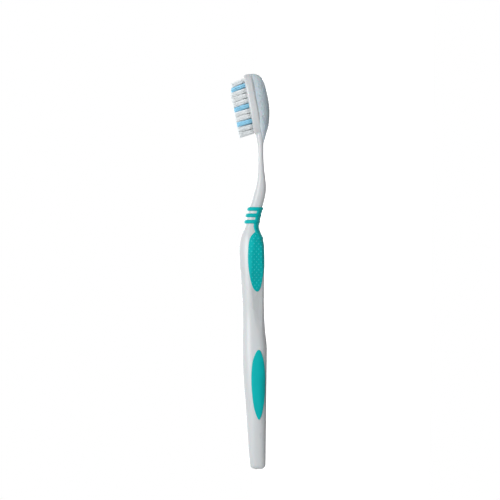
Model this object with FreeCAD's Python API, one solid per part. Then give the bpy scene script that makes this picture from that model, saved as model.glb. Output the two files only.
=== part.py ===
# Manual toothbrush lying on its back, in millimetres.
# X runs along the brush with the head at +X, Z is up and the bristles point up, and Y goes across.
# Both sides of the plane Y = 0 are alike, apart from the turn of the anchors.
# The origin is below the middle of the brush, on the surface that it lies on.
import FreeCAD
import Part
import math
import os

from FreeCAD import Placement, Rotation, Vector

# Lengths along the brush: butt to nape, nape to heel of the head
handle_length = 116.0
neck_length = 44.0

# Handle
handle_depth = 14.2          # from the rest plane to the front of the thumb swell
handle_width = 13.4
back_dip = 0.4               # how far the round back would reach below the rest plane, cut flat there
butt_round = 2.4
section_sides = 18           # straight sides round each cross section
front_power = 2.25           # superellipse powers: round front, squarer back
back_power = 2.8

# Neck
neck_depth = 6.4             # height of the front of the neck where it meets the heel of the head
neck_width = 5.2

# Flats on the sides of the handle, for finger and thumb
flat_reach = 50.0            # from the nape back to where they start
flat_length = 47.0
flat_depth = 0.85
flat_lean = 20.0             # degrees, so that the flats face slightly to the back

# Head plate, in its own tilted frame
head_length = 29.7
head_width = 12.8
head_thickness = 4.1
head_tilt = 11.5             # degrees
head_rise = 7.0              # height of the heel of the bristle face above the rest plane
head_round = 1.1             # rounding of both edges
plate_sides = 34             # straight sides round the plate

# Soft mouldings of the handle
grip_depth = 1.3             # recess below the surface of the handle
grip_proud = 0.3             # how far the soft pads stand above it
pad_sides = 40               # straight sides round a pad
upper_pad_reach = 30.8       # from the nape back to the lower tip of the pad
upper_pad_length = 28.8
upper_pad_low = 1.7
upper_pad_depth = 7.8
upper_strip = 4.8            # bare strip between the two upper pads, on the back
lower_pad_start = 24.0       # from the butt to the lower tip of the pad
lower_pad_length = 33.5
lower_pad_low = 0.65
lower_pad_depth = 6.7
lower_strip = 6.8
spine_reach = 2.05           # how far the spine comes round the sides, seen from the side
spine_back = 4.6             # from the nape back to where the spine starts
spine_points = 6             # points on each edge of the spine
ring_count = 3
ring_first = 2.8             # from the nape to the ring nearest the handle
ring_pitch = 3.05
ring_width = 1.35
ring_proud = 0.7
ring_depth = 1.0             # recess of the rings below the surface of the neck
bridge_diameter = 2.4        # soft bridges through the handle between the lower pads
bridge_pitch = 9.0

# Tongue cleaner on the back of the head
cleaner_stack = 9.9          # bristle face to the crown of the cleaner
cleaner_rim = 0.7            # rim of the plate left bare round the cleaner
cleaner_root = 0.6           # how far the blank of the cleaner starts inside the plate
cleaner_power = 2.4
dome_sides = 9               # straight sides round the dome
stud_diameter = 2.2
stud_length = 0.8
stud_pitch = 10.0

# Tufts and their anchors
row_pitch = 2.48
column_pitch = 2.55
row_margin = 2.7             # tip of the head to the first row
tuft_height = 7.7            # free height above the bristle face
tuft_hole_diameter = 1.8
tuft_hole_depth = 2.6
tuft_fit = 0.03              # gap between a bundle and the wall of its hole
bundle_sides = 8
tip_lean = 13.5              # degrees towards the handle, first row
heel_lean = 3.0              # degrees, last row
anchor_thickness = 0.3
anchor_height = 1.2
anchor_bite = 0.15           # how far each end of an anchor cuts into the plate
anchor_lift = 0.4            # thickness of the folded filaments under an anchor
anchor_turn = 30.0           # degrees

overrun = 30.0               # how far cutting tools reach past what they cut

# Handle sections: share of handle_length, shares of handle_depth at the back and the front,
# share of handle_width. None is a round back that dips below the rest plane and is cut flat.
handle_shares = (
    (0.000, None, 0.520, 0.640),
    (0.080, None, 0.606, 0.760),
    (0.207, None, 0.683, 0.850),
    (0.328, None, 0.775, 0.895),
    (0.440, None, 0.831, 0.880),
    (0.520, 0.010, 0.845, 0.840),
    (0.569, 0.056, 0.845, 0.815),
    (0.620, 0.090, 0.845, 0.810),
    (0.700, 0.109, 0.880, 0.870),
    (0.790, 0.111, 0.937, 0.950),
    (0.862, 0.113, 0.986, 1.000),
    (0.910, 0.128, 1.000, 0.990),
    (0.948, 0.170, 0.972, 0.925),
    (0.974, 0.265, 0.908, 0.830),
    (1.000, 0.352, 0.812, 0.735),
)

# Neck sections: share of neck_length, shares of neck_depth at the back and the front, share of neck_width
neck_shares = (
    (0.064, 0.720, 1.690, 1.760),
    (0.143, 0.600, 1.590, 1.640),
    (0.225, 0.440, 1.430, 1.500),
    (0.318, 0.285, 1.230, 1.340),
    (0.410, 0.190, 1.050, 1.210),
    (0.500, 0.220, 0.910, 1.110),
    (0.614, 0.320, 0.845, 1.030),
    (0.750, 0.395, 0.845, 1.000),
    (0.886, 0.410, 0.890, 1.020),
    (0.990, 0.430, 1.020, 1.080),
    (1.100, 0.560, 1.180, 1.100),
)

# First section that each soft moulding needs, and the one after its last, both counted from the butt
upper_grip_sections = (6, 19)
lower_grip_sections = (1, 8)

# Outline of the head plate: share of its length from the heel, share of its half width
plate_shares = (
    (0.000, 0.00), (0.025, 0.40), (0.120, 0.68), (0.260, 0.90), (0.420, 0.99),
    (0.560, 1.00), (0.740, 0.96), (0.880, 0.78), (0.965, 0.45), (1.000, 0.00),
)

# Rounding of the butt and of the plate's edges: share of the radius inwards, share of it down
edge_shares = ((1.0, 0.0), (0.5, 0.134), (0.134, 0.5), (0.0, 1.0))

# Cleaner sections: share of the head's length from the heel, of the width inside the rim, of the stack
cleaner_shares = (
    (-0.125, 0.33, 0.400),
    (-0.050, 0.46, 0.520),
    (0.010, 0.58, 0.610),
    (0.115, 0.76, 0.760),
    (0.235, 0.90, 0.875),
    (0.365, 0.98, 0.955),
    (0.525, 1.00, 0.998),
    (0.670, 0.97, 0.996),
    (0.790, 0.87, 0.970),
    (0.875, 0.72, 0.905),
    (0.930, 0.55, 0.805),
    (0.963, 0.38, 0.690),
    (0.982, 0.22, 0.550),
)

# Outlines of the side pads: share of the length from the lower tip, share of the depth from the low side
upper_pad_shares = (
    (0.000, 0.41), (0.058, 0.58), (0.163, 0.74), (0.278, 0.86), (0.403, 0.955), (0.537, 1.00),
    (0.690, 1.00), (0.823, 0.965), (0.900, 0.88), (0.955, 0.74), (1.000, 0.52), (0.970, 0.20),
    (0.800, -0.06), (0.576, -0.08), (0.403, -0.02), (0.240, 0.05), (0.097, 0.13), (0.019, 0.25),
)
lower_pad_shares = (
    (0.000, 0.40), (0.070, 0.62), (0.180, 0.79), (0.320, 0.90), (0.460, 0.97), (0.600, 1.00), (0.740, 0.97),
    (0.870, 0.87), (0.975, 0.64), (1.000, 0.48), (0.975, 0.33), (0.870, 0.15), (0.740, 0.05), (0.600, 0.00),
    (0.460, 0.00), (0.320, 0.03), (0.180, 0.11), (0.070, 0.22),
)

# Outline of a ring's bead: share of its width from the middle, share of its height above the neck
ring_shares = ((-0.5, 0.0), (-0.38, 0.75), (-0.15, 1.0), (0.15, 1.0), (0.38, 0.75), (0.5, 0.0))

# Tufts in each row from the tip, and how much of the free height each row has
row_tufts = (2, 3, 4, 4, 4, 4, 4, 4, 4, 3, 2)
row_height_shares = (0.86, 0.93, 1.0, 1.0, 1.0, 0.97, 1.0, 1.0, 0.97, 1.0, 0.98)

butt_x = 0.0
nape_x = butt_x + handle_length
heel_x = nape_x + neck_length
upper_pad_x = nape_x - upper_pad_reach
lower_pad_x = butt_x + lower_pad_start
spine_x = nape_x - spine_back


def body_stations():
    """Place, back height, front height and half width of every section of handle and neck."""
    stations = []
    for along, back, front, across in handle_shares:
        low = -back_dip if back is None else back * handle_depth
        place = butt_x + max(along * handle_length, butt_round)
        stations.append((place, low, front * handle_depth, across * handle_width / 2))
    for along, back, front, across in neck_shares:
        place = nape_x + along * neck_length
        stations.append((place, back * neck_depth, front * neck_depth, across * neck_width / 2))
    return stations


def flat_plane(station, grow):
    """Distance from the X axis to the side flat at a section, or None where there is no flat."""
    place, back, front, half_width = station
    share = 2 * (place - nape_x + flat_reach) / flat_length - 1
    if abs(share) >= 1:
        return None
    lean = math.radians(flat_lean)
    dual = back_power / (back_power - 1)
    across = (half_width * math.cos(lean)) ** dual
    down = ((front - back) / 2 * math.sin(lean)) ** dual
    touching = (across + down) ** (1 / dual) - (front + back) / 2 * math.sin(lean)
    return touching - flat_depth * (1 - share ** 2) + grow


def pressed(y, z, plane):
    """Point moved square onto the side flat if it lies outside it."""
    lean = math.radians(flat_lean)
    beyond = abs(y) * math.cos(lean) - z * math.sin(lean) - plane
    if beyond <= 0:
        return y, z
    return math.copysign(abs(y) - beyond * math.cos(lean), y), z + beyond * math.sin(lean)


def section_wire(station, grow):
    """Closed many-sided section with its side flats, grown by the given amount."""
    place, back, front, half_width = station
    centre = (back + front) / 2
    rise = (front - back) / 2 + grow
    reach = half_width + grow
    plane = flat_plane(station, grow)
    points = []
    for number in range(section_sides):
        angle = 2 * math.pi * (number + 0.5) / section_sides
        power = 2 / (front_power if math.sin(angle) >= 0 else back_power)
        y = math.copysign(abs(math.cos(angle)) ** power, math.cos(angle)) * reach
        z = math.copysign(abs(math.sin(angle)) ** power, math.sin(angle)) * rise + centre
        if plane is not None:
            y, z = pressed(y, z, plane)
        points.append(Vector(place, y, z))
    return Part.makePolygon(points + points[:1])


def body_loft(grow, first=0, last=None):
    """Handle and neck as one loft, smooth along its length, grown outwards or shrunk inwards."""
    stations = body_stations()[first:last]
    return Part.makeLoft([section_wire(station, grow) for station in stations], True, False)


def station_at(place):
    """Section sizes between two stations."""
    stations = body_stations()
    for before, after in zip(stations, stations[1:]):
        if before[0] <= place <= after[0]:
            share = (place - before[0]) / (after[0] - before[0])
            return tuple(a + (b - a) * share for a, b in zip(before, after))
    return stations[-1]


def smooth_polygon(points, sides):
    """Closed many-sided outline on a smooth curve through the points, closest where they are."""
    curve = Part.BSplineCurve()
    steps = [number / len(points) for number in range(len(points) + 1)]
    curve.interpolate(Points=points, PeriodicFlag=True, Parameters=steps)
    corners = [curve.value(number / sides) for number in range(sides)]
    return Part.makePolygon(corners + corners[:1])


def side_outline(points):
    """Closed outline in the side view, as a prism right through the brush."""
    corners = [Vector(x, -overrun, z) for x, z in points]
    face = Part.Face(smooth_polygon(corners, pad_sides))
    return face.extrude(Vector(0, 2 * overrun, 0))


def block(x0, x1, y0, y1, z0, z1):
    """Box from its lower to its upper corner."""
    return Part.makeBox(x1 - x0, y1 - y0, z1 - z0, Vector(x0, y0, z0))


def under_floor():
    """Everything below the rest plane."""
    return block(butt_x - overrun, heel_x + head_length + overrun, -overrun, overrun, -overrun, 0)


def pad_prism(shares, start, length, low, depth):
    """Prism of a side pad's outline."""
    points = [(start + along * length, low + across * depth) for along, across in shares]
    return side_outline(points)


def middle_strip(start, length, width, height):
    """Block that keeps the bare strip between the left and right pad."""
    return block(start, start + length, -width / 2, width / 2, -overrun, height)


def soft_layer(zone, sections):
    """The part of a zone that lies in the soft layer, from the recess up to the proud surface."""
    outer = body_loft(grip_proud, *sections)
    inner = body_loft(-grip_depth, *sections)
    return zone.common(outer).cut([inner, under_floor()])


def upper_pads():
    """Left and right pad of the upper grip, which come round the back up to a bare strip."""
    zone = pad_prism(upper_pad_shares, upper_pad_x, upper_pad_length, upper_pad_low, upper_pad_depth)
    strip_height = upper_pad_low + upper_pad_depth / 2
    zone = zone.cut(middle_strip(upper_pad_x, spine_x - upper_pad_x, upper_strip, strip_height))
    return soft_layer(zone, upper_grip_sections)


def ring_places():
    """Place of each ring along the brush."""
    return [nape_x + ring_first + number * ring_pitch for number in range(ring_count)]


def spine():
    """Band on the back of the neck that joins the pads to the rings."""
    last = ring_places()[-1]
    upper = []
    lower = []
    for number in range(spine_points):
        place = spine_x + (last - spine_x) * number / (spine_points - 1)
        back = station_at(place)[1]
        upper.append(Vector(place, -overrun, back + spine_reach))
        lower.append(Vector(place, -overrun, back - spine_reach))
    edges = []
    for points in (upper, lower):
        curve = Part.BSplineCurve()
        curve.interpolate(Points=points)
        edges.append(curve.toShape())
    edges.append(Part.makeLine(upper[0], lower[0]))
    edges.append(Part.makeLine(upper[-1], lower[-1]))
    face = Part.Face(Part.Wire(Part.sortEdges(edges)[0]))
    return soft_layer(face.extrude(Vector(0, 2 * overrun, 0)), upper_grip_sections)


def ring_loft(place, outline):
    """Loft right across the neck through sections given as shares of the ring's width and height."""
    wires = []
    for along, proud in outline:
        wires.append(section_wire(station_at(place + along * ring_width), proud * ring_proud))
    return Part.makeLoft(wires, True, True)


def ring(place):
    """Bead right round the neck, with bevelled shoulders."""
    sunk = -ring_depth / ring_proud
    return ring_loft(place, ring_shares).cut(ring_loft(place, ((-0.5, sunk), (0.5, sunk))))


def upper_grip():
    """Rings, spine and side pads in one soft moulding."""
    pieces = [upper_pads(), spine()]
    pieces += [ring(place) for place in ring_places()]
    return pieces[0].multiFuse(pieces[1:])


def lower_grip():
    """Oval side pads joined by soft bridges through the handle."""
    zone = pad_prism(lower_pad_shares, lower_pad_x, lower_pad_length, lower_pad_low, lower_pad_depth)
    middle = lower_pad_x + lower_pad_length / 2
    height = lower_pad_low + lower_pad_depth / 2
    zone = zone.cut(middle_strip(lower_pad_x, lower_pad_length, lower_strip, height))
    pads = soft_layer(zone, lower_grip_sections)
    half_bridge = station_at(middle)[3] - grip_depth / 2
    bridges = []
    for place in (middle - bridge_pitch / 2, middle + bridge_pitch / 2):
        foot = Vector(place, -half_bridge, height)
        bridges.append(Part.makeCylinder(bridge_diameter / 2, 2 * half_bridge, foot, Vector(0, 1, 0)))
    return pads.multiFuse(bridges)


def head_frame():
    """Frame of the head: origin at the heel of the bristle face, X to the tip, Z out of the face."""
    return Placement(Vector(heel_x, 0, head_rise), Rotation(Vector(0, 1, 0), -head_tilt))


def head_plate():
    """Plate with a smooth outline and rounded edges."""
    right = [Vector(along * head_length, across * head_width / 2, 0) for along, across in plate_shares]
    left = [Vector(point.x, -point.y, 0) for point in reversed(right[1:-1])]
    outline = smooth_polygon(right + left, plate_sides)
    levels = []
    for inset, depth in edge_shares:
        levels.append((inset * head_round, -depth * head_round))
    for inset, depth in reversed(edge_shares):
        levels.append((inset * head_round, depth * head_round - head_thickness))
    wires = []
    for inset, height in levels:
        wire = outline.makeOffset2D(-inset, 2) if inset else outline.copy()
        wire.translate(Vector(0, 0, height))
        wires.append(wire)
    plate = Part.makeLoft(wires, True, True)
    plate.Placement = head_frame()
    return plate


def row_place(row):
    """Distance of a row from the heel of the head."""
    return head_length - row_margin - row * row_pitch


def tuft_frames():
    """Row, column and frame of every tuft, with Z along its filaments."""
    frames = []
    for row, count in enumerate(row_tufts):
        lean = tip_lean + (heel_lean - tip_lean) * row / (len(row_tufts) - 1)
        for column in range(count):
            across = (column - (count - 1) / 2) * column_pitch
            local = Placement(Vector(row_place(row), across, 0), Rotation(Vector(0, 1, 0), -lean))
            frames.append((row, column, head_frame().multiply(local)))
    return frames


def anchor(frame):
    """Flat metal plate across the bottom of a tuft's hole."""
    length = tuft_hole_diameter + 2 * anchor_bite
    half = anchor_thickness / 2
    low = anchor_lift - tuft_hole_depth
    plate = block(-half, half, -length / 2, length / 2, low, low + anchor_height)
    turn = Placement(Vector(0, 0, 0), Rotation(Vector(0, 0, 1), anchor_turn))
    plate.Placement = frame.multiply(turn)
    return plate


def bundle_prism(frame, radius, low, high):
    """Many-sided prism along a tuft."""
    points = []
    for number in range(bundle_sides + 1):
        angle = 2 * math.pi * number / bundle_sides
        points.append(Vector(radius * math.cos(angle), radius * math.sin(angle), low))
    prism = Part.Face(Part.makePolygon(points)).extrude(Vector(0, 0, high - low))
    prism.Placement = frame
    return prism


def tuft_hole(frame):
    """Blind hole for one tuft, reaching past the bristle face."""
    return bundle_prism(frame, tuft_hole_diameter / 2, -tuft_hole_depth, tuft_hole_diameter)


def tuft(frame, row):
    """Bundle of filaments as one body, folded round its anchor and trimmed level with its row."""
    radius = tuft_hole_diameter / 2 - tuft_fit
    bundle = bundle_prism(frame, radius, -tuft_hole_depth, tuft_height + tuft_hole_diameter)
    height = tuft_height * row_height_shares[row]
    reach = head_length + overrun
    above = block(-reach, reach, -reach, reach, height, height + reach)
    above.Placement = head_frame()
    return bundle.cut([above, anchor(frame)])


def cleaner_section(along, across, down):
    """Domed section of the tongue cleaner, flat side to the plate."""
    reach = across * (head_width / 2 - cleaner_rim)
    top = -(head_thickness - cleaner_root)
    drop = down * cleaner_stack + top
    points = []
    for number in range(dome_sides + 1):
        angle = math.pi * number / dome_sides
        y = math.copysign(abs(math.cos(angle)) ** (2 / cleaner_power), math.cos(angle)) * reach
        z = abs(math.sin(angle)) ** (2 / cleaner_power) * drop
        points.append(Vector(along * head_length, y, top - z))
    return Part.makePolygon(points + points[:1])


def cleaner_blank():
    """Domed pad with the studs that key it into the plate."""
    pad = Part.makeLoft([cleaner_section(*shares) for shares in cleaner_shares], True, False)
    studs = []
    for side in (-1, 1):
        foot = Vector(head_length / 2 + side * stud_pitch / 2, 0, -head_thickness)
        studs.append(Part.makeCylinder(stud_diameter / 2, stud_length, foot))
    key = Part.makeCompound(studs)
    for shape in (pad, key):
        shape.Placement = head_frame()
    return pad, key


def butt_cap():
    """Rounded end of the handle, sections drawn in along a quarter circle."""
    sizes = body_stations()[0][1:]
    wires = []
    for inset, depth in edge_shares:
        wires.append(section_wire((butt_x + depth * butt_round,) + sizes, -inset * butt_round))
    return Part.makeLoft(wires, True, True)


def handle_blank():
    """Handle, neck and head plate before anything is let into them."""
    return body_loft(0).multiFuse([butt_cap(), head_plate()]).cut(under_floor())


def only_solid(shape):
    """The largest solid of a result, which drops slivers left by a cut."""
    return max(shape.Solids, key=lambda solid: solid.Volume)


def build():
    """All pieces by name."""
    blank = handle_blank()
    pieces = {}
    upper = upper_grip()
    lower = lower_grip()
    pad, key = cleaner_blank()
    frames = tuft_frames()
    anchors = [anchor(frame) for _, _, frame in frames]
    holes = [tuft_hole(frame) for _, _, frame in frames]
    handle = blank.cut(lower).cut(upper).cut(key.Solids + holes + anchors)
    cleaner = pad.cut([blank, under_floor()])
    pieces["handle"] = only_solid(handle)
    pieces["upper_grip"] = upper
    pieces["lower_grip"] = lower
    pieces["tongue_cleaner"] = only_solid(cleaner).multiFuse(key.Solids)
    pieces["tuft_anchors"] = Part.makeCompound(anchors)
    for row, column, frame in frames:
        pieces["tuft_row%02d_%d" % (row + 1, column + 1)] = tuft(frame, row)
    return pieces


def centred(pieces):
    """Moves the brush so that the origin is below its middle."""
    box = Part.makeCompound(list(pieces.values())).optimalBoundingBox(False)
    shift = Vector(-(box.XMin + box.XMax) / 2, 0, 0)
    for shape in pieces.values():
        shape.translate(shift)
    return pieces


os.makedirs("parts", exist_ok=True)
for name, shape in centred(build()).items():
    shape.exportStep("parts/%s.step" % name)
    print(name, len(shape.Solids), round(shape.Volume, 2), shape.isValid())
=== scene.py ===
import math
import random

import bpy
import numpy as np
from mathutils import Matrix, Vector


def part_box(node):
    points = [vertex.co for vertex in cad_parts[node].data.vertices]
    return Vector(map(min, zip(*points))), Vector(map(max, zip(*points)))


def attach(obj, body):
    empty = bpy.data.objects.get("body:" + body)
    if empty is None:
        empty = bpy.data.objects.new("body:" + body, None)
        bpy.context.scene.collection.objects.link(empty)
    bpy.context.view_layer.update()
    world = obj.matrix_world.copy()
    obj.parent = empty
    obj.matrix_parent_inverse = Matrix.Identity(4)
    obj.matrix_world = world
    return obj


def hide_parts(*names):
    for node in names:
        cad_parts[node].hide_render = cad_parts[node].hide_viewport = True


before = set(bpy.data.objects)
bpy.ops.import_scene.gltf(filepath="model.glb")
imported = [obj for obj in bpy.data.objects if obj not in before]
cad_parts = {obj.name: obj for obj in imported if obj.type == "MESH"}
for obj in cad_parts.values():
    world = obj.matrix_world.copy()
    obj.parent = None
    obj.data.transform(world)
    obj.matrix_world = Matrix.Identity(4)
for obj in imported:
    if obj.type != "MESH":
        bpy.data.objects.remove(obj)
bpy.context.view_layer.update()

# The brush lies on its back: head at +X, bristles at +Z. Shapes are worked out in millimetres.
millimetre = 0.001
mergeReach = 0.002 * millimetre
layout = {"handleLength": 116.0, "neckLength": 44.0}
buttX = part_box("handle")[0].x / millimetre
napeX = buttX + layout["handleLength"]
heelX = napeX + layout["neckLength"]


# Small helpers

def deselectAll():
    if bpy.context.mode != "OBJECT":
        bpy.ops.object.mode_set(mode="OBJECT")
    bpy.ops.object.select_all(action="DESELECT")


def pick(*objects):
    deselectAll()
    for obj in objects:
        obj.select_set(True)
    bpy.context.view_layer.objects.active = objects[0]


def editAll():
    bpy.ops.object.mode_set(mode="EDIT")
    bpy.ops.mesh.select_all(action="SELECT")


def applyModifiers(obj):
    pick(obj)
    for modifier in list(obj.modifiers):
        bpy.ops.object.modifier_apply(modifier=modifier.name)


def joinPieces(objects, name):
    pick(*objects)
    bpy.ops.object.join()
    obj = bpy.context.object
    obj.name = name
    obj.data.name = name
    return obj


def wrapGrid(name, along, around, place):
    # A flat grid whose points are carried to place(row, column), with seams and poles merged
    deselectAll()
    bpy.ops.mesh.primitive_grid_add(x_subdivisions=along, y_subdivisions=around, size=1)
    obj = bpy.context.object
    obj.name = name
    obj.data.name = name
    for vertex in obj.data.vertices:
        row = round((vertex.co.x + 0.5) * along)
        column = round((vertex.co.y + 0.5) * around)
        vertex.co = Vector(place(row, column)) * millimetre
    obj.location = (0, 0, 0)
    editAll()
    bpy.ops.mesh.remove_doubles(threshold=mergeReach)
    bpy.ops.mesh.fill_holes(sides=0)
    bpy.ops.mesh.normals_make_consistent(inside=False)
    bpy.ops.object.mode_set(mode="OBJECT")
    bpy.ops.object.shade_smooth()
    return obj


def recast(obj, voxel, passes, easing=0.5):
    # One even skin over overlapping parts, as they come out of one mould
    remesh = obj.modifiers.new("skin", "REMESH")
    remesh.mode = "VOXEL"
    remesh.voxel_size = voxel * millimetre
    ease = obj.modifiers.new("ease", "SMOOTH")
    ease.factor = easing
    ease.iterations = passes
    applyModifiers(obj)
    bpy.ops.object.shade_smooth()
    return obj


def quarterTurn(steps):
    return [math.radians(90 * i / steps) for i in range(steps + 1)]


def smoothLine(places, values):
    # Natural cubic through the given points
    places = np.array(places, float)
    values = np.array(values, float)
    count = len(places)
    step = np.diff(places)
    matrix = np.eye(count)
    right = np.zeros(count)
    for i in range(1, count - 1):
        before = (values[i] - values[i - 1]) / step[i - 1]
        after = (values[i + 1] - values[i]) / step[i]
        matrix[i, i - 1:i + 2] = step[i - 1], 2 * (step[i - 1] + step[i]), step[i]
        right[i] = 3 * (after - before)
    bend = np.linalg.solve(matrix, right)

    def at(place):
        i = int(np.clip(np.searchsorted(places, place) - 1, 0, count - 2))
        d = place - places[i]
        slope = (values[i + 1] - values[i]) / step[i] - step[i] * (2 * bend[i] + bend[i + 1]) / 3
        twist = (bend[i + 1] - bend[i]) / (3 * step[i])
        return values[i] + slope * d + bend[i] * d ** 2 + twist * d ** 3
    return at


def closedLine(points, count):
    # Smooth closed outline through the points
    total = len(points)
    steps = range(-total, 2 * total + 1)
    lines = [smoothLine(steps, [points[i % total][axis] for i in steps]) for axis in (0, 1)]
    return [tuple(line(total * i / count) for line in lines) for i in range(count)]


# Skins: a half section from top to bottom at every place along the brush

def makeSkin(places, halfSection, samples=121):
    even = np.linspace(0, 1, samples)
    rows = {"x": np.array(places, float), "even": even, "y": [], "z": [], "length": []}
    for place in places:
        y, z = halfSection(place)
        run = np.concatenate(([0], np.cumsum(np.hypot(np.diff(y), np.diff(z)))))
        rows["y"].append(np.interp(even, run / run[-1], y))
        rows["z"].append(np.interp(even, run / run[-1], z))
        rows["length"].append(run[-1])
    for key in ("y", "z", "length"):
        rows[key] = np.array(rows[key])
    return rows


def skinRow(skin, x):
    i = float(np.interp(x, skin["x"], np.arange(len(skin["x"]))))
    low = min(int(i), len(skin["x"]) - 2)
    share = i - low
    y = skin["y"][low] * (1 - share) + skin["y"][low + 1] * share
    z = skin["z"][low] * (1 - share) + skin["z"][low + 1] * share
    return y, z


def skinPoint(skin, x, t, side=1, lift=0.0):
    # t runs from 0 on top to 1 below, side is +1 or -1, lift goes out of the surface
    y, z = skinRow(skin, x)
    last = len(y) - 1
    j = min(max(t, 0.0), 1.0) * last
    low = min(int(j), last - 1)
    share = j - low
    before, after = max(low - 1, 0), min(low + 2, last)
    run = math.hypot(y[after] - y[before], z[after] - z[before])
    outY = -(z[after] - z[before]) / run
    outZ = (y[after] - y[before]) / run
    pointY = y[low] + (y[low + 1] - y[low]) * share + outY * lift
    pointZ = z[low] + (z[low + 1] - z[low]) * share + outZ * lift
    return x, side * pointY, pointZ


def skinNormal(skin, x, t, side, stepX=0.2, stepT=0.01):
    # Square to the surface, from its run along and around the piece
    ahead = Vector(skinPoint(skin, x + stepX, t, side)) - Vector(skinPoint(skin, x - stepX, t, side))
    around = Vector(skinPoint(skin, x, t + stepT, side)) - Vector(skinPoint(skin, x, t - stepT, side))
    return side * ahead.cross(around).normalized()


def shareAtHeight(skin, x, height):
    return float(np.interp(-height, -skinRow(skin, x)[1], skin["even"]))


def shareAtStrip(skin, x, halfWidth):
    # Where the underside comes in to the given distance from the middle
    y = skinRow(skin, x)[0]
    widest = int(np.argmax(y))
    return float(np.interp(-halfWidth, -y[widest:], skin["even"][widest:]))


def aroundBody(column, columns):
    # Columns go down one side and up the other: t and the side
    share = 2 * column / columns
    return (share, 1) if share <= 1 else (2 - share, -1)


def superHalf(halfWidth, top, bottom, topPower, bottomPower, samples=160):
    turn = np.linspace(math.pi / 2, -math.pi / 2, samples)
    power = np.where(turn >= 0, 2 / topPower, 2 / bottomPower)
    y = np.abs(np.cos(turn)) ** power * halfWidth
    z = np.sign(np.sin(turn)) * np.abs(np.sin(turn)) ** power * (top - bottom) / 2 + (top + bottom) / 2
    return y, z


# Camera: square on to the side, head up and bristles left

camera = {"distance": 1.0, "sensor": 36, "span": 0.2402, "aimX": 0.01025, "aimZ": 0.00862, "roll": 0.66}

lens = bpy.data.cameras.new("sideView")
lens.sensor_width = camera["sensor"]
lens.lens = camera["sensor"] * camera["distance"] / camera["span"]
viewer = bpy.data.objects.new("sideView", lens)
bpy.context.scene.collection.objects.link(viewer)
roll = math.radians(camera["roll"])
right = Vector((math.sin(roll), 0, -math.cos(roll)))
up = Vector((math.cos(roll), 0, math.sin(roll)))
axes = Matrix((right, up, right.cross(up))).transposed().to_4x4()
viewer.matrix_world = Matrix.Translation((camera["aimX"], -camera["distance"], camera["aimZ"])) @ axes
bpy.context.scene.camera = viewer
print("camera set")


# Handle and neck, one pale moulding

handleShape = {
    "depth": 14.2, "width": 13.4, "buttRound": 2.4, "topPower": 2.25, "bottomPower": 2.8,
    "stations": (        # share of the handle's length, bottom, top, width
        (0.000, -0.028, 0.520, 0.640), (0.080, -0.028, 0.606, 0.760), (0.207, -0.028, 0.683, 0.850),
        (0.328, -0.028, 0.775, 0.895), (0.440, -0.028, 0.831, 0.880), (0.520, 0.010, 0.845, 0.840),
        (0.569, 0.056, 0.845, 0.815), (0.620, 0.090, 0.845, 0.810), (0.700, 0.109, 0.880, 0.870),
        (0.790, 0.111, 0.937, 0.950), (0.862, 0.113, 0.986, 1.000), (0.910, 0.128, 1.000, 0.990),
        (0.948, 0.170, 0.972, 0.925), (0.974, 0.265, 0.908, 0.830), (1.000, 0.352, 0.812, 0.735)),
    "neckDepth": 6.4, "neckWidth": 5.2,
    "neckStations": (    # share of the neck's length, bottom, top, width
        (0.064, 0.720, 1.690, 1.760), (0.143, 0.600, 1.590, 1.640), (0.225, 0.440, 1.430, 1.500),
        (0.318, 0.285, 1.230, 1.340), (0.410, 0.190, 1.050, 1.210), (0.500, 0.220, 0.910, 1.110),
        (0.614, 0.320, 0.845, 1.030), (0.750, 0.395, 0.845, 1.000), (0.886, 0.410, 0.890, 1.020),
        (0.990, 0.430, 1.020, 1.080), (1.100, 0.560, 1.180, 1.100)),
    "flatReach": 50.0, "flatLength": 47.0, "flatDepth": 0.85, "flatLean": 20.0,
    "skinRows": 700, "rowStep": 0.5, "buttSteps": 8, "around": 96, "voxel": 0.285, "passes": 5,
}


def spread(start, length, depth, width, shares):
    # Shares become place, bottom, top and half width
    return [(start + along * length, low * depth, high * depth, wide * width / 2)
            for along, low, high, wide in shares]


stations = spread(buttX, layout["handleLength"], handleShape["depth"], handleShape["width"],
                  handleShape["stations"])
stations += spread(napeX, layout["neckLength"], handleShape["neckDepth"], handleShape["neckWidth"],
                   handleShape["neckStations"])
bodyPlaces, lows, highs, wides = zip(*stations)
bodyLow, bodyHigh, bodyWide = [smoothLine(bodyPlaces, values) for values in (lows, highs, wides)]


def bodyHalf(place):
    low, high, wide = bodyLow(place), bodyHigh(place), bodyWide(place)
    y, z = superHalf(wide, high, low, handleShape["topPower"], handleShape["bottomPower"])
    share = 2 * (place - napeX + handleShape["flatReach"]) / handleShape["flatLength"] - 1
    if abs(share) < 1:           # finger flats, turned a little to the back
        lean = math.radians(handleShape["flatLean"])
        beyond = y * math.cos(lean) - z * math.sin(lean)
        beyond -= beyond.max() - handleShape["flatDepth"] * (1 - share ** 2)
        press = np.maximum(beyond, 0)
        y = y - press * math.cos(lean)
        z = z + press * math.sin(lean)
    return y, np.maximum(z, 0)


bodySkin = makeSkin(np.linspace(buttX, bodyPlaces[-1], handleShape["skinRows"]), bodyHalf)

buttRound = handleShape["buttRound"]
bodyRows = [(buttX, 0.0)]        # place and lift, from the middle of the butt
for angle in reversed(quarterTurn(handleShape["buttSteps"])):
    bodyRows.append((buttX + buttRound * (1 - math.sin(angle)), -buttRound * (1 - math.cos(angle))))
straight = int((bodyPlaces[-1] - buttX - buttRound) / handleShape["rowStep"])
bodyRows += [(buttX + buttRound + i * handleShape["rowStep"], 0.0) for i in range(1, straight + 1)]


def bodyPlace(row, column):
    x, lift = bodyRows[row]
    if row == 0:
        y, z = skinRow(bodySkin, buttX)
        return x, 0, (z[0] + z[-1]) / 2
    t, side = aroundBody(column, handleShape["around"])
    return skinPoint(bodySkin, x, t, side, lift)


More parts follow.
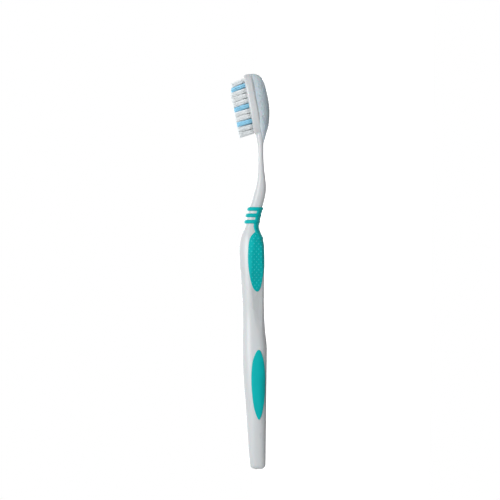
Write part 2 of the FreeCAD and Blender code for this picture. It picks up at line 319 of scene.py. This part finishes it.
body = wrapGrid("handleBody", len(bodyRows) - 1, handleShape["around"], bodyPlace)
print("handle drawn", len(body.data.vertices))


# Head plate in its own tilted frame

headShape = {
    "length": 29.7, "width": 12.8, "thickness": 4.1, "tilt": 11.5, "rise": 7.0,
    "outline": ((0.000, 0.00), (0.025, 0.40), (0.120, 0.68), (0.260, 0.90), (0.420, 0.99),
                (0.560, 1.00), (0.740, 0.96), (0.880, 0.78), (0.965, 0.45), (1.000, 0.00)),
    "columns": 128, "edge": 1.1, "edgeSteps": 6,
    "topShares": (0, 0.5, 0.9), "backShares": (0.5, 0),      # rows across both faces, from and to the middle
}
tilt = math.radians(headShape["tilt"])


def fromHead(along, high):
    # Out of the tilted frame, for numbers or whole columns of them
    return (heelX + along * math.cos(tilt) - high * math.sin(tilt),
            headShape["rise"] + along * math.sin(tilt) + high * math.cos(tilt))


def headPoint(along, across, high):
    x, z = fromHead(along, high)
    return Vector((x, across, z))


plateRight = [(a * headShape["length"], w * headShape["width"] / 2) for a, w in headShape["outline"]]
plateLeft = [(a, -w) for a, w in reversed(plateRight[1:-1])]
plateLine = closedLine(plateRight + plateLeft, headShape["columns"])


def inwards(line, column, inset):
    # A point of the outline, moved square to it
    before, after = line[(column - 1) % len(line)], line[(column + 1) % len(line)]
    dx, dy = after[0] - before[0], after[1] - before[1]
    run = math.hypot(dx, dy)
    x, y = line[column % len(line)]
    return x + dy / run * inset, y - dx / run * inset


edge, back = headShape["edge"], -headShape["thickness"]
plateRows = [(share, 0.0, 0.0) for share in headShape["topShares"]]      # share of the outline, inset, height
for angle in quarterTurn(headShape["edgeSteps"]):
    plateRows.append((1, edge * (1 - math.sin(angle)), -edge * (1 - math.cos(angle))))
for angle in quarterTurn(headShape["edgeSteps"]):
    plateRows.append((1, edge * (1 - math.cos(angle)), edge * (1 - math.sin(angle)) + back))
plateRows += [(share, edge, back) for share in headShape["backShares"]]


def platePlace(row, column):
    share, inset, high = plateRows[row]
    along, across = inwards(plateLine, column, inset)
    middle = headShape["length"] / 2
    return headPoint(middle + (along - middle) * share, across * share, high)


plate = wrapGrid("headPlate", len(plateRows) - 1, headShape["columns"], platePlace)
handle = joinPieces([body, plate], "pearlHandle")
recast(handle, handleShape["voxel"], handleShape["passes"])
print("handle and head in one skin", len(handle.data.vertices))


# Soft pads, spine and rings

padShape = {             # what all pads share
    "columns": 120, "halfGirth": 18.0,       # millimetres from t = 0 to t = 1
    "crown": (0, 0.12, 0.25, 0.4, 0.55, 0.7, 0.82, 0.92),      # shares of the outline
    "rim": ((0.62, 1.0), (0.42, 0.98), (0.27, 0.86), (0.15, 0.62), (0.06, 0.25), (0.0, -0.5)),
    "under": (1, 0.6, 0), "sunk": -2.2,
}


def padLine(values):
    # The outline in place and t, which stops short of the strip between the pads
    points = [(values["start"] + a * values["length"], values["low"] + d * values["depth"])
              for a, d in values["outline"]]
    return [(x, min(shareAtHeight(bodySkin, x, z), shareAtStrip(bodySkin, x, values["strip"])))
            for x, z in closedLine(points, padShape["columns"])]


def padMiddle(line):
    return sum(p[0] for p in line) / len(line), sum(p[1] for p in line) / len(line)


def softPad(name, values, side):
    line = padLine(values)
    middle = padMiddle(line)
    rim = padShape["rim"]
    rows = [(share, *rim[0]) for share in padShape["crown"]]      # share, inset, height
    rows += [(1, inset, high) for inset, high in rim]
    rows += [(share, 0.0, padShape["sunk"]) for share in padShape["under"]]

    def place(row, column):
        share, inset, high = rows[row]
        x, t = line[column % len(line)]
        reach = math.hypot(x - middle[0], (t - middle[1]) * padShape["halfGirth"])
        share = share * (1 - inset / reach)
        return skinPoint(bodySkin, middle[0] + (x - middle[0]) * share,
                         middle[1] + (t - middle[1]) * share, side, high * values["proud"])
    return wrapGrid(name, len(rows) - 1, padShape["columns"], place)


upperPad = {
    "start": napeX - 30.8, "length": 28.8, "low": 1.7, "depth": 7.8, "strip": 2.4, "proud": 0.25,
    "outline": (
        (0.000, 0.45), (0.050, 0.65), (0.155, 0.80), (0.278, 0.91), (0.403, 0.98), (0.537, 1.015),
        (0.690, 1.01), (0.823, 0.965), (0.900, 0.88), (0.955, 0.74), (1.000, 0.52), (0.970, 0.20),
        (0.800, -0.06), (0.576, -0.08), (0.403, 0.00), (0.240, 0.08), (0.097, 0.17), (0.019, 0.29)),
    "dotPitch": (2.48, 1.0), "dotCount": 9, "dotRadius": 0.34, "dotHeight": 0.15, "dotMargin": 0.9,
    "voxel": 0.15, "passes": 3,             # for the whole upper grip
}
lowerPad = {
    "start": buttX + 24.0, "length": 33.5, "low": 0.65, "depth": 6.7, "strip": 3.4, "proud": 0.3,
    "outline": (
        (0.000, 0.40), (0.070, 0.62), (0.180, 0.79), (0.320, 0.90), (0.460, 0.97), (0.600, 1.00),
        (0.740, 0.97), (0.870, 0.87), (0.975, 0.64), (1.000, 0.48), (0.975, 0.33), (0.870, 0.15),
        (0.740, 0.05), (0.600, 0.00), (0.460, 0.00), (0.320, 0.03), (0.180, 0.11), (0.070, 0.22)),
}
rings = {
    "places": [napeX + 2.65 + i * 3.05 for i in range(3)], "proud": 0.7, "sunk": 0.6,
    "width": 1.9,            # before the skin is evened, which takes off about 0.4
    "profile": 20, "around": 96,
}
spine = {
    "start": napeX - 5.6, "end": rings["places"][-1], "reach": 2.1, "proud": 0.5, "rows": 40,
    "edge": ((0.0, -2.0), (0.0, -0.3), (0.04, 0.35), (0.1, 0.75), (0.18, 0.95), (0.3, 1.0)),
    "flatSteps": 14,
}


def ringPiece(number):
    def place(row, column):
        angle = 2 * math.pi * row / rings["profile"]
        lift = math.sin(angle) * (rings["proud"] if math.sin(angle) > 0 else rings["sunk"])
        x = rings["places"][number] + math.cos(angle) * rings["width"] / 2
        t, side = aroundBody(column, rings["around"])
        return skinPoint(bodySkin, x, t, side, lift)
    return wrapGrid("ring%d" % (number + 1), rings["profile"], rings["around"], place)


def spinePiece():
    steps = spine["flatSteps"]
    flat, sunk = spine["edge"][-1][0], spine["edge"][0][1]

    def place(row, column):
        x = spine["start"] + (spine["end"] - spine["start"]) * row / spine["rows"]
        start = shareAtHeight(bodySkin, x, bodyLow(x) + spine["reach"])
        outer = [(start + (1 - start) * inset, high, 1) for inset, high in spine["edge"]]
        outer += [(start + (1 - start) * (flat + (1 - flat) * i / steps), 1.0, 1)
                  for i in range(1, steps + 1)]
        outer += [(t, high, -1) for t, high, _ in reversed(outer[:-1])]
        loop = outer + [(t, sunk, side) for t, _, side in reversed(outer[1:-1])]
        t, high, side = loop[column % len(loop)]
        return skinPoint(bodySkin, x, t, side, high * spine["proud"])
    outerCount = 2 * (len(spine["edge"]) + steps) - 1
    return wrapGrid("spine", spine["rows"], 2 * outerCount - 2, place)


upperParts = [softPad("upperPad%d" % i, upperPad, side) for i, side in enumerate((1, -1))]
upperParts += [ringPiece(number) for number in range(len(rings["places"]))] + [spinePiece()]
upperGrip = recast(joinPieces(upperParts, "tealUpperGrip"), upperPad["voxel"], upperPad["passes"])
print("upper grip in one skin", len(upperGrip.data.vertices))


# Raised dots: one small dome, copied to its places

domeShape = {"segments": 10, "rings": 8, "base": -0.3}


def makeDome():
    deselectAll()
    bpy.ops.mesh.primitive_uv_sphere_add(segments=domeShape["segments"],
                                         ring_count=domeShape["rings"], radius=1)
    obj = bpy.context.object
    editAll()
    bpy.ops.mesh.bisect(plane_co=(0, 0, domeShape["base"]), plane_no=(0, 0, 1),
                        clear_inner=True, use_fill=True)
    bpy.ops.object.mode_set(mode="OBJECT")
    return obj


def scatter(name, pattern, shapers):
    # Copies of one small mesh in one object, each with its own points from its shaper
    points = np.array([tuple(v.co) for v in pattern.data.vertices])
    faces = [tuple(p.vertices) for p in pattern.data.polygons]
    allPoints, allFaces = [], []
    for shaper in shapers:
        start = len(allPoints)
        allPoints += [tuple(c) for c in shaper(points)]
        allFaces += [tuple(start + i for i in face) for face in faces]
    mesh = bpy.data.meshes.new(name)
    mesh.from_pydata(allPoints, [], allFaces)
    obj = bpy.data.objects.new(name, mesh)
    bpy.context.scene.collection.objects.link(obj)
    pick(obj)
    bpy.ops.object.shade_smooth()
    return obj


def domeShaper(point, normal, radius, height):
    across = Vector((1, 0, 0)).cross(normal).normalized()
    turnTo = np.array(Matrix((across.cross(normal), across, normal)).transposed())

    def shaper(points):
        sized = points * np.array((radius, radius, height))
        return (sized @ turnTo.T + np.array(point)) * millimetre
    return shaper


def padDots(values, side):
    line = padLine(values)
    middle = padMiddle(line)
    girth = padShape["halfGirth"]
    turns = np.array([math.atan2((t - middle[1]) * girth, x - middle[0]) for x, t in line])
    reaches = np.array([math.hypot((t - middle[1]) * girth, x - middle[0]) for x, t in line])
    order = np.argsort(turns)
    stepX, stepT = values["dotPitch"]
    most = values["dotCount"]
    shapers = []
    for i in range(-most, most + 1):
        for j in range(-most, most + 1):
            dx = i * stepX + (stepX / 2 if j % 2 else 0)
            dt = j * stepT
            reach = float(np.interp(math.atan2(dt, dx), turns[order], reaches[order], period=2 * math.pi))
            if math.hypot(dx, dt) > reach - values["dotMargin"]:
                continue
            x, t = middle[0] + dx, middle[1] + dt / girth
            point = skinPoint(bodySkin, x, t, side, values["proud"])
            normal = skinNormal(bodySkin, x, t, side)
            shapers.append(domeShaper(point, normal, values["dotRadius"], values["dotHeight"]))
    return shapers


dome = makeDome()
dotShapers = padDots(upperPad, 1) + padDots(upperPad, -1)
gripDots = scatter("gripDots", dome, dotShapers)
padFaces = len(upperGrip.data.polygons)
upperGrip = joinPieces([upperGrip, gripDots], "tealUpperGrip")
lowerParts = [softPad("lowerPad%d" % i, lowerPad, side) for i, side in enumerate((1, -1))]
lowerGrip = joinPieces(lowerParts, "tealLowerGrip")
print("grips done", len(dotShapers), "dots")


# Tongue cleaner on the back of the head

cleanerShape = {
    "stack": 9.65, "rim": 0.7, "root": 0.6, "power": 2.4, "skinRows": 300, "rows": 90, "around": 56,
    "stations": (        # share of the head's length, width, depth
        (-0.125, 0.33, 0.400), (-0.050, 0.46, 0.520), (0.010, 0.58, 0.610), (0.115, 0.76, 0.760),
        (0.235, 0.90, 0.875), (0.365, 0.98, 0.955), (0.525, 1.00, 0.998), (0.670, 0.97, 0.996),
        (0.790, 0.87, 0.970), (0.875, 0.72, 0.905), (0.930, 0.55, 0.805), (0.963, 0.38, 0.690),
        (0.982, 0.23, 0.575), (0.990, 0.12, 0.480), (0.9945, 0.02, 0.385)),
    "heelReach": 0.4, "poleDrop": 0.15,      # the middle of both ends
    "dotStart": 0.6, "dotPitch": (1.4415, 1.5), "dotRows": 19, "dotSpread": 0.5,
    "dotRadius": 0.32, "dotHeight": 0.17, "dotLeast": 0.05,
}
cleanerPlaces = [s[0] * headShape["length"] for s in cleanerShape["stations"]]
cleanerWide = smoothLine(cleanerPlaces, [s[1] * (headShape["width"] / 2 - cleanerShape["rim"])
                                         for s in cleanerShape["stations"]])
cleanerDrop = smoothLine(cleanerPlaces, [-s[2] * cleanerShape["stack"]
                                         for s in cleanerShape["stations"]])
cleanerTop = cleanerShape["root"] - headShape["thickness"]


def cleanerHalf(place):
    y, z = superHalf(cleanerWide(place), top=1.0, bottom=-1.0, topPower=2, bottomPower=cleanerShape["power"])
    low = cleanerDrop(place)
    z = np.where(z < 0, cleanerTop + np.abs(z) * (low - cleanerTop), cleanerTop)
    return y, z


cleanerSkin = makeSkin(np.linspace(cleanerPlaces[0], cleanerPlaces[-1], cleanerShape["skinRows"]),
                       cleanerHalf)


def cleanerSpot(place, t, side):
    spot = headPoint(*skinPoint(cleanerSkin, place, t, side))
    spot.z = max(spot.z, 0.0)            # flat where it would go through the floor
    return spot


def cleanerPlace(row, column):
    rows = cleanerShape["rows"]
    if row in (0, rows):
        x = cleanerPlaces[0] - cleanerShape["heelReach"] if row == 0 else cleanerPlaces[-1]
        return headPoint(x, 0, cleanerTop - cleanerShape["poleDrop"])
    share = (row - 1) / (rows - 2)       # the rows come closer together towards the tip
    x = cleanerPlaces[0] + (cleanerPlaces[-1] - cleanerPlaces[0]) * math.sin(share * math.pi / 2)
    t, side = aroundBody(column, cleanerShape["around"])
    return cleanerSpot(x, t, side)


def cleanerDotShapers():
    stepX, stepT = cleanerShape["dotPitch"]
    shapers = []
    for i in range(1, cleanerShape["dotRows"] + 1):
        place = cleanerShape["dotStart"] + i * stepX
        half = float(np.interp(place, cleanerSkin["x"], cleanerSkin["length"]))
        for j in range(int(half / stepT)):
            reach = (j + (0.5 if i % 2 else 0.0)) * stepT
            if reach > half * cleanerShape["dotSpread"]:
                continue
            for side in (1, -1) if reach else (1,):
                t = 1 - reach / half
                spot = cleanerSpot(place, t, side)
                normal = headPoint(*skinNormal(cleanerSkin, place, t, side)) - headPoint(0, 0, 0)
                high = min(cleanerShape["dotHeight"], spot.z)      # no dot goes through the floor
                if high > cleanerShape["dotLeast"]:
                    shapers.append(domeShaper(spot, normal, cleanerShape["dotRadius"], high))
    return shapers


cleanerBody = wrapGrid("cleanerBody", cleanerShape["rows"], cleanerShape["around"], cleanerPlace)
cleanerShapers = cleanerDotShapers()
cleanerDots = scatter("cleanerDots", dome, cleanerShapers)
cleaner = joinPieces([cleanerBody, cleanerDots], "domedCleaner")
bpy.data.objects.remove(dome)
print("cleaner done", len(cleanerShapers), "dots")


# Tufts: one filament, bundled and fanned

tuftShape = {
    "rows": (2, 3, 4, 4, 4, 4, 4, 4, 4, 3, 2), "blueRows": (2, 6, 9),
    "heights": (0.86, 0.91, 1.0, 1.0, 1.0, 0.95, 1.0, 1.0, 0.95, 1.0, 0.98),
    "height": 7.7, "rowPitch": 2.48, "columnPitch": 2.55, "margin": 2.7, "tipLean": 13.5, "heelLean": 3.0,
    "filament": 0.105, "spacing": 0.23, "bundle": 0.95, "depth": 0.8,
    "fan": 0.52, "blueFan": 0.12, "stray": 0.07, "uneven": 0.11, "crown": 0.22, "crownPower": 3, "seed": 7,
}
filamentShape = {        # shares of its length, the last two with how much they narrow
    "sides": 6, "stem": (0.4, 0.35, 0.238), "end": ((0.008, 0.8), (0.004, 0.55)),
}


def makeFilament():
    deselectAll()
    bpy.ops.mesh.primitive_circle_add(vertices=filamentShape["sides"], radius=1, fill_type="NGON")
    obj = bpy.context.object
    editAll()
    for height in filamentShape["stem"]:
        bpy.ops.mesh.extrude_region_move(TRANSFORM_OT_translate={"value": (0, 0, height)})
    for height, size in filamentShape["end"]:
        bpy.ops.mesh.extrude_region_move(TRANSFORM_OT_translate={"value": (0, 0, height)})
        bpy.ops.transform.resize(value=(size, size, 1))
    bpy.ops.object.mode_set(mode="OBJECT")
    return obj


filament = makeFilament()
chance = random.Random(tuftShape["seed"])


def filamentShaper(row, across, offsetX, offsetY):
    depth, stray = tuftShape["depth"], tuftShape["stray"]
    share = row / (len(tuftShape["rows"]) - 1)
    lean = math.radians(tuftShape["tipLean"] + (tuftShape["heelLean"] - tuftShape["tipLean"]) * share)
    along = headShape["length"] - tuftShape["margin"] - row * tuftShape["rowPitch"]
    trim = tuftShape["height"] * tuftShape["heights"][row]
    trim = trim + chance.uniform(-1, 1) * tuftShape["uneven"]
    outward = math.hypot(offsetX, offsetY) / tuftShape["bundle"]
    trim -= tuftShape["crown"] * outward ** tuftShape["crownPower"]
    fan = tuftShape["blueFan" if row + 1 in tuftShape["blueRows"] else "fan"]
    fanX = offsetX * fan + chance.uniform(-stray, stray)
    fanY = offsetY * fan + chance.uniform(-stray, stray)
    length = (trim - (offsetX + fanX) * math.sin(lean)) / math.cos(lean) + depth

    def shaper(points):
        z = points[:, 2] * length - depth
        bend = np.clip(z, 0, None) / (length - depth)
        x = points[:, 0] * tuftShape["filament"] + offsetX + fanX * bend
        y = points[:, 1] * tuftShape["filament"] + offsetY + fanY * bend
        worldX, worldZ = fromHead(along + x * math.cos(lean) - z * math.sin(lean),
                                  x * math.sin(lean) + z * math.cos(lean))
        return np.stack((worldX, across + y, worldZ), 1) * millimetre
    return shaper


most = math.ceil(tuftShape["bundle"] / tuftShape["spacing"])
bundleOffsets = []
for i in range(-most, most + 1):
    for j in range(-most, most + 1):
        offset = (tuftShape["spacing"] * (i + j / 2), tuftShape["spacing"] * j * math.sqrt(3) / 2)
        if math.hypot(*offset) <= tuftShape["bundle"]:
            bundleOffsets.append(offset)

tuftPieces = []
for row, count in enumerate(tuftShape["rows"]):
    shapers = []
    for column in range(count):
        across = (column - (count - 1) / 2) * tuftShape["columnPitch"]
        shapers += [filamentShaper(row, across, *offset) for offset in bundleOffsets]
    piece = scatter("bristles%02d" % (row + 1), filament, shapers)
    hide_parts(*["tuft_row%02d_%d" % (row + 1, column + 1) for column in range(count)])
    tuftPieces.append(piece)
bpy.data.objects.remove(filament)
print("tufts done", len(bundleOffsets), "filaments each")


# Effects that several materials share

def newGroup(name, inputs, outputs):
    # Inputs are the place on the piece and then numbers, with their usual values
    group = bpy.data.node_groups.new(name, "ShaderNodeTree")
    group.interface.new_socket(name="Place", in_out="INPUT", socket_type="NodeSocketVector")
    for label, value in inputs.items():
        socket = group.interface.new_socket(name=label, in_out="INPUT", socket_type="NodeSocketFloat")
        socket.default_value = value
    for label in outputs:
        group.interface.new_socket(name=label, in_out="OUTPUT", socket_type="NodeSocketFloat")
    return group, group.nodes.new("NodeGroupInput"), group.nodes.new("NodeGroupOutput")


def addMath(tree, operation, first, second):
    node = tree.nodes.new("ShaderNodeMath")
    node.operation = operation
    for socket, value in zip(node.inputs, (first, second)):
        if isinstance(value, (int, float)):
            socket.default_value = value
        else:
            tree.links.new(value, socket)
    return node.outputs[0]


def addNoise(tree, place, detail=1, scale=1.0, stretch=None):
    noise = tree.nodes.new("ShaderNodeTexNoise")
    noise.inputs["Detail"].default_value = detail
    if stretch:
        mapping = tree.nodes.new("ShaderNodeMapping")
        mapping.inputs["Scale"].default_value = stretch
        tree.links.new(place, mapping.inputs["Vector"])
        place = mapping.outputs["Vector"]
    tree.links.new(place, noise.inputs["Vector"])
    if isinstance(scale, (int, float)):
        noise.inputs["Scale"].default_value = scale
    else:
        tree.links.new(scale, noise.inputs["Scale"])
    return noise.outputs["Fac"]


def widened(tree, fac, amount=1.8):
    # Noise stays near its middle, so it is widened to nearly 0 to 1
    wide = addMath(tree, "MULTIPLY", addMath(tree, "SUBTRACT", fac, 0.5), amount)
    return addMath(tree, "ADD", wide, 0.5)


def addTone(tree, factor, dark, light):
    # A colour between two, on the colour sockets of a Mix node
    mix = tree.nodes.new("ShaderNodeMix")
    mix.data_type = "RGBA"
    mix.inputs[6].default_value = (*dark, 1)
    mix.inputs[7].default_value = (*light, 1)
    tree.links.new(factor, mix.inputs[0])
    return mix.outputs[2]


def addSeen(tree, *rays):
    # 1 where the camera looks straight at it, or one of the rays does
    path = tree.nodes.new("ShaderNodeLightPath")
    seen = path.outputs["Is Camera Ray"]
    for ray in rays:
        seen = addMath(tree, "MAXIMUM", seen, path.outputs[ray])
    return seen


def makeMouldedSkin():
    # Cloudy tone, uneven gloss and a fine eroded grain
    group, start, end = newGroup(
        "mouldedSkin", {"Cloud Scale": 60.0, "Grain Scale": 2500.0, "Roughness": 0.4, "Spread": 0.1},
        ("Cloud", "Roughness", "Height"))
    cloud = addNoise(group, start.outputs["Place"], scale=start.outputs["Cloud Scale"])
    grain = addNoise(group, start.outputs["Place"], detail=2, scale=start.outputs["Grain Scale"])
    cloud = widened(group, cloud)
    swing = addMath(group, "SUBTRACT", cloud, 0.5)
    swing = addMath(group, "MULTIPLY", swing, start.outputs["Spread"])
    group.links.new(cloud, end.inputs["Cloud"])
    group.links.new(addMath(group, "ADD", start.outputs["Roughness"], swing), end.inputs["Roughness"])
    group.links.new(grain, end.inputs["Height"])
    return group


rubMarks = {"stretch": (60.0, 900.0, 900.0), "detail": 4, "start": 0.58, "hardness": 6.0, "patchScale": 90.0}


def makeHandling():
    # Fine rub marks that run along the brush, in patches
    group, start, end = newGroup("handlingMarks", {"Amount": 0.1}, ("Roughness",))
    marks = addNoise(group, start.outputs["Place"], detail=rubMarks["detail"], stretch=rubMarks["stretch"])
    patch = addNoise(group, start.outputs["Place"], scale=rubMarks["patchScale"])
    edge = addMath(group, "SUBTRACT", marks, rubMarks["start"])
    edge = addMath(group, "MULTIPLY", edge, rubMarks["hardness"])
    edge = addMath(group, "MINIMUM", addMath(group, "MAXIMUM", edge, 0.0), 1.0)
    mask = addMath(group, "MULTIPLY", edge, patch)
    group.links.new(addMath(group, "MULTIPLY", mask, start.outputs["Amount"]), end.inputs["Roughness"])
    return group


mouldedSkin = makeMouldedSkin()
handlingMarks = makeHandling()
grainDepth = 0.05 * millimetre


def newMaterial(name, values):
    material = bpy.data.materials.new(name)
    material.use_nodes = True
    tree = material.node_tree
    shader = tree.nodes["Principled BSDF"]
    for socket, value in values["plain"].items():
        shader.inputs[socket].default_value = value
    where = tree.nodes.new("ShaderNodeTexCoord").outputs["Object"]
    skin = tree.nodes.new("ShaderNodeGroup")
    skin.node_tree = mouldedSkin
    tree.links.new(where, skin.inputs["Place"])
    for socket, value in values["skin"].items():
        skin.inputs[socket].default_value = value
    factor = skin.outputs["Cloud"]
    if "flow" in values:          # pearl drawn out along the mould
        flow = widened(tree, addNoise(tree, where, stretch=values["flow"]))
        factor = addMath(tree, "MULTIPLY", addMath(tree, "ADD", factor, flow), 0.5)
    tree.links.new(addTone(tree, factor, values["dark"], values["light"]), shader.inputs["Base Color"])
    roughness = skin.outputs["Roughness"]
    if "marks" in values:
        marks = tree.nodes.new("ShaderNodeGroup")
        marks.node_tree = handlingMarks
        marks.inputs["Amount"].default_value = values["marks"]
        tree.links.new(where, marks.inputs["Place"])
        roughness = addMath(tree, "ADD", roughness, marks.outputs["Roughness"])
    tree.links.new(roughness, shader.inputs["Roughness"])
    bump = tree.nodes.new("ShaderNodeBump")
    bump.inputs["Strength"].default_value = values["bump"]
    bump.inputs["Distance"].default_value = grainDepth
    tree.links.new(skin.outputs["Height"], bump.inputs["Height"])
    tree.links.new(bump.outputs["Normal"], shader.inputs["Normal"])
    return material


def dress(obj, material, slot, *nodes):
    obj.data.materials.clear()
    obj.data.materials.append(material)
    if nodes:
        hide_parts(*nodes)
    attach(obj, "root")


pearl = newMaterial("pearlPlastic", {
    "dark": (0.58, 0.605, 0.62), "light": (0.64, 0.665, 0.68), "flow": (25.0, 160.0, 160.0), "marks": 0.25,
    "skin": {"Cloud Scale": 70.0, "Grain Scale": 2200.0, "Roughness": 0.3, "Spread": 0.12},
    "plain": {"Coat Weight": 0.14, "Coat Roughness": 0.14, "Subsurface Weight": 0.12,
              "Subsurface Scale": 0.002, "IOR": 1.49},
    "bump": 0.05})
tealFinish = {
    "dark": (0.0, 0.42, 0.43), "light": (0.0, 0.50, 0.51), "marks": 0.15,
    "skin": {"Cloud Scale": 140.0, "Grain Scale": 4200.0, "Roughness": 0.46, "Spread": 0.14},
    "plain": {"Specular IOR Level": 0.15, "IOR": 1.45},
    "bump": 0.14}
teal = newMaterial("tealSoft", tealFinish)
tealDots = newMaterial("tealDotHighlight", {     # the dots are glossier, with a painted highlight in their lighter tone
    # tones lighter than the pads: painted highlight on the dots
    **tealFinish, "dark": (0.01, 0.52, 0.53), "light": (0.02, 0.61, 0.62),
    "skin": {**tealFinish["skin"], "Roughness": 0.32},
    "plain": {**tealFinish["plain"], "Specular IOR Level": 0.35}})
cleanerSoft = newMaterial("cleanerSoft", {
    "dark": (0.52, 0.61, 0.66), "light": (0.62, 0.71, 0.76),
    "skin": {"Cloud Scale": 180.0, "Grain Scale": 3800.0, "Roughness": 0.42, "Spread": 0.14},
    "plain": {"Subsurface Weight": 0.25, "Subsurface Scale": 0.0015, "IOR": 1.45},
    "bump": 0.12})
nylonFinish = {
    "skin": {"Cloud Scale": 900.0, "Grain Scale": 6000.0, "Roughness": 0.38, "Spread": 0.15},
    "plain": {"IOR": 1.53},
    "bump": 0.1}
whiteNylon = newMaterial("whiteNylon", {
    **nylonFinish, "dark": (0.925, 0.965, 0.98), "light": (0.96, 0.99, 1.0)})
blueNylon = newMaterial("blueNylon", {
    **nylonFinish, "dark": (0.31, 0.71, 0.96), "light": (0.41, 0.80, 1.0)})
anchorMetal = newMaterial("anchorMetal", {
    "dark": (0.58, 0.53, 0.40), "light": (0.70, 0.65, 0.50),
    "skin": {"Cloud Scale": 1200.0, "Grain Scale": 9000.0, "Roughness": 0.35, "Spread": 0.2},
    "plain": {"Metallic": 1.0},
    "bump": 0.1})

dress(handle, pearl, "handle_plastic", "handle")
dress(upperGrip, teal, "teal_grip", "upper_grip")
upperGrip.data.materials.append(tealDots)
for polygon in upperGrip.data.polygons:
    polygon.material_index = 0 if polygon.index < padFaces else 1
dress(lowerGrip, teal, "teal_grip", "lower_grip")
dress(cleaner, cleanerSoft, "cleaner_rubber", "tongue_cleaner")
for row, piece in enumerate(tuftPieces, 1):
    if row in tuftShape["blueRows"]:
        dress(piece, blueNylon, "blue_nylon")
    else:
        dress(piece, whiteNylon, "white_nylon")
anchors = bpy.data.objects["tuft_anchors"]
anchors.data.materials.clear()
anchors.data.materials.append(anchorMetal)
print("materials done")


# Floor, world and lamps

studio = {
    "floorSize": 6, "floorDrop": 0.00005, "floor": 0.90, "floorBounce": 0.35, "floorGlow": 0.55,
    "floorRoughness": 0.9, "world": 0.44, "aim": (0, 0, 0.005),
    "lamps": (           # name, place, size, power
        ("key", (0.12, -0.57, 0.51), 0.45, 4.0),
        ("fill", (-0.15, -0.90, 0.05), 0.60, 0.75),
        ("back", (0.00, 0.62, 0.28), 0.50, 2.0)),
}

deselectAll()
bpy.ops.mesh.primitive_plane_add(size=studio["floorSize"], location=(0, 0, 0))
floor = bpy.context.object
floor.name = "studioFloor"
for vertex in floor.data.vertices:
    vertex.co.z -= studio["floorDrop"]
paper = bpy.data.materials.new("studioPaper")
paper.use_nodes = True
tree = paper.node_tree
shader = tree.nodes["Principled BSDF"]
shader.inputs["Roughness"].default_value = studio["floorRoughness"]
shader.inputs["Emission Color"].default_value = (1, 1, 1, 1)
seen = addSeen(tree, "Is Glossy Ray")        # brighter to look at than what it throws on the brush
tree.links.new(addMath(tree, "MULTIPLY", seen, studio["floorGlow"]), shader.inputs["Emission Strength"])
tree.links.new(addTone(tree, seen, (studio["floorBounce"],) * 3, (studio["floor"],) * 3),
               shader.inputs["Base Color"])
clear = tree.nodes.new("ShaderNodeBsdfTransparent")      # from below, the floor can be seen through
mix = tree.nodes.new("ShaderNodeMixShader")
tree.links.new(tree.nodes.new("ShaderNodeNewGeometry").outputs["Backfacing"], mix.inputs[0])
tree.links.new(shader.outputs[0], mix.inputs[1])
tree.links.new(clear.outputs[0], mix.inputs[2])
tree.links.new(mix.outputs[0], tree.nodes["Material Output"].inputs["Surface"])
floor.data.materials.append(paper)

world = bpy.data.worlds.new("studioWorld")
bpy.context.scene.world = world
world.use_nodes = True
tree = world.node_tree
backdrop = tree.nodes["Background"]
backdrop.inputs["Color"].default_value = (1, 1, 1, 1)
seen = addSeen(tree, "Is Glossy Ray", "Is Transmission Ray")
level = addMath(tree, "MULTIPLY", seen, 1 - studio["world"])
tree.links.new(addMath(tree, "ADD", level, studio["world"]), backdrop.inputs["Strength"])

for name, place, size, power in studio["lamps"]:
    data = bpy.data.lights.new(name, "AREA")
    data.size = size
    data.energy = power
    lamp = bpy.data.objects.new(name, data)
    lamp.location = place
    lamp.rotation_euler = (Vector(studio["aim"]) - lamp.location).to_track_quat("-Z", "Y").to_euler()
    bpy.context.scene.collection.objects.link(lamp)
bpy.context.scene.view_settings.view_transform = "Standard"
print("studio done")
